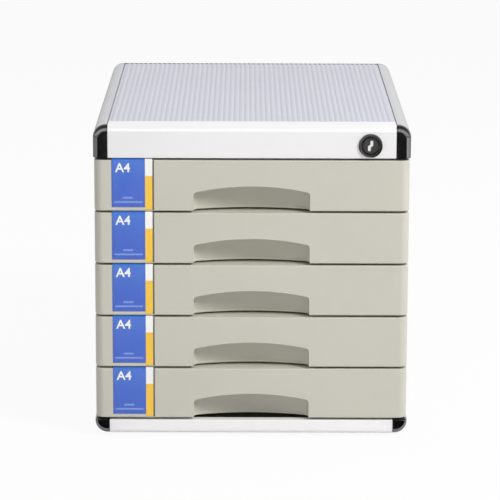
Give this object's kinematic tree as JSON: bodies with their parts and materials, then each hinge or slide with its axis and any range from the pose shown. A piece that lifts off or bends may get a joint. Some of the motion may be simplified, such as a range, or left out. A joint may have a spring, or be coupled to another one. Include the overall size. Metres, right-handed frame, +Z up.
{
  "type": "desktop file drawer cabinet",
  "caption": "Lockable desktop file cabinet: flat drawers with scooped pulls and label pockets in an aluminium frame, with a ribbed top and chrome corner caps.",
  "frame": {"origin": "centre of the bounding box at the level of the surface that the feet stand on", "axes": "+Z up, -Y towards the drawer fronts, +X to the right seen from the front; +Y is the long, front-to-back axis"},
  "size_m": [0.3018, 0.4008, 0.3053],
  "materials": {
    "rail_aluminium": "satin anodised",
    "band_aluminium": "fine satin anodised",
    "cap_chrome": "polished chrome plating",
    "ribbed_top": "satin, fine ribs",
    "base_plastic": "matte",
    "back_plastic": "matte, fine grain",
    "side_plastic": "matte, fine grain",
    "drawer_plastic": "satin moulded",
    "tray_plastic": "satin moulded",
    "label_card": "printed card",
    "clear_cover": "clear gloss",
    "foot_rubber": "matte",
    "lock_chrome": "polished",
    "lock_plug_metal": "satin",
    "zinc_steel": "zinc plated"
  },
  "bodies": {
    "case": {"top_rail_left": "rail_aluminium", "bottom_rail_left": "rail_aluminium", "top_rail_right": "rail_aluminium", "bottom_rail_right": "rail_aluminium", "front_band_top": "band_aluminium", "front_band_bottom": "band_aluminium", "corner_cap_top_left": "cap_chrome", "corner_cap_top_right": "cap_chrome", "corner_cap_bottom_left": "cap_chrome", "corner_cap_bottom_right": "cap_chrome", "top_panel": "ribbed_top", "base_panel": "base_plastic", "back_panel": "back_plastic", "back_screw_top_left": "zinc_steel", "back_screw_top_right": "zinc_steel", "back_screw_bottom_left": "zinc_steel", "back_screw_bottom_right": "zinc_steel", "side_panel_left": "side_plastic", "side_panel_right": "side_plastic", "foot_front_left": "foot_rubber", "foot_front_right": "foot_rubber", "foot_rear_left": "foot_rubber", "foot_rear_right": "foot_rubber", "lock_housing": "lock_chrome", "lock_nut": "zinc_steel"},
    "lock_plug": {"lock_plug": "lock_plug_metal", "lock_crank": "zinc_steel", "lock_crank_screw": "zinc_steel"},
    "lock_bar": {"lock_bar": "zinc_steel"},
    "drawer_1": {"drawer_1_front": "drawer_plastic", "drawer_1_tray": "tray_plastic", "drawer_1_lock_catch": "tray_plastic", "drawer_1_label_card": "label_card", "drawer_1_label_cover": "clear_cover"},
    "drawer_2": {"drawer_2_front": "drawer_plastic", "drawer_2_tray": "tray_plastic", "drawer_2_lock_catch": "tray_plastic", "drawer_2_label_card": "label_card", "drawer_2_label_cover": "clear_cover"},
    "drawer_3": {"drawer_3_front": "drawer_plastic", "drawer_3_tray": "tray_plastic", "drawer_3_lock_catch": "tray_plastic", "drawer_3_label_card": "label_card", "drawer_3_label_cover": "clear_cover"},
    "drawer_4": {"drawer_4_front": "drawer_plastic", "drawer_4_tray": "tray_plastic", "drawer_4_lock_catch": "tray_plastic", "drawer_4_label_card": "label_card", "drawer_4_label_cover": "clear_cover"},
    "drawer_5": {"drawer_5_front": "drawer_plastic", "drawer_5_tray": "tray_plastic", "drawer_5_lock_catch": "tray_plastic", "drawer_5_label_card": "label_card", "drawer_5_label_cover": "clear_cover"}
  },
  "joints": [
    {"name": "drawer_1_slide", "type": "slide", "parent": "case", "child": "drawer_1", "axis": [0, -1, 0], "range_m": [0, 0.28]},
    {"name": "drawer_2_slide", "type": "slide", "parent": "case", "child": "drawer_2", "axis": [0, -1, 0], "range_m": [0, 0.28]},
    {"name": "drawer_3_slide", "type": "slide", "parent": "case", "child": "drawer_3", "axis": [0, -1, 0], "range_m": [0, 0.28]},
    {"name": "drawer_4_slide", "type": "slide", "parent": "case", "child": "drawer_4", "axis": [0, -1, 0], "range_m": [0, 0.28]},
    {"name": "drawer_5_slide", "type": "slide", "parent": "case", "child": "drawer_5", "axis": [0, -1, 0], "range_m": [0, 0.28]},
    {"name": "lock_turn", "type": "hinge", "parent": "case", "child": "lock_plug", "pos_m": [0.1123, -0.1984, 0.2863], "axis": [0, -1, 0], "range_deg": [0, 90]},
    {"name": "lock_bar_slide", "type": "slide", "parent": "case", "child": "lock_bar", "axis": [0, 0, 1], "range_m": [0, 0.0099]}
  ],
  "couplings": [
    {"joint": "lock_turn", "follows": "lock_bar_slide", "rad_per_m": 158.66}
  ]
}
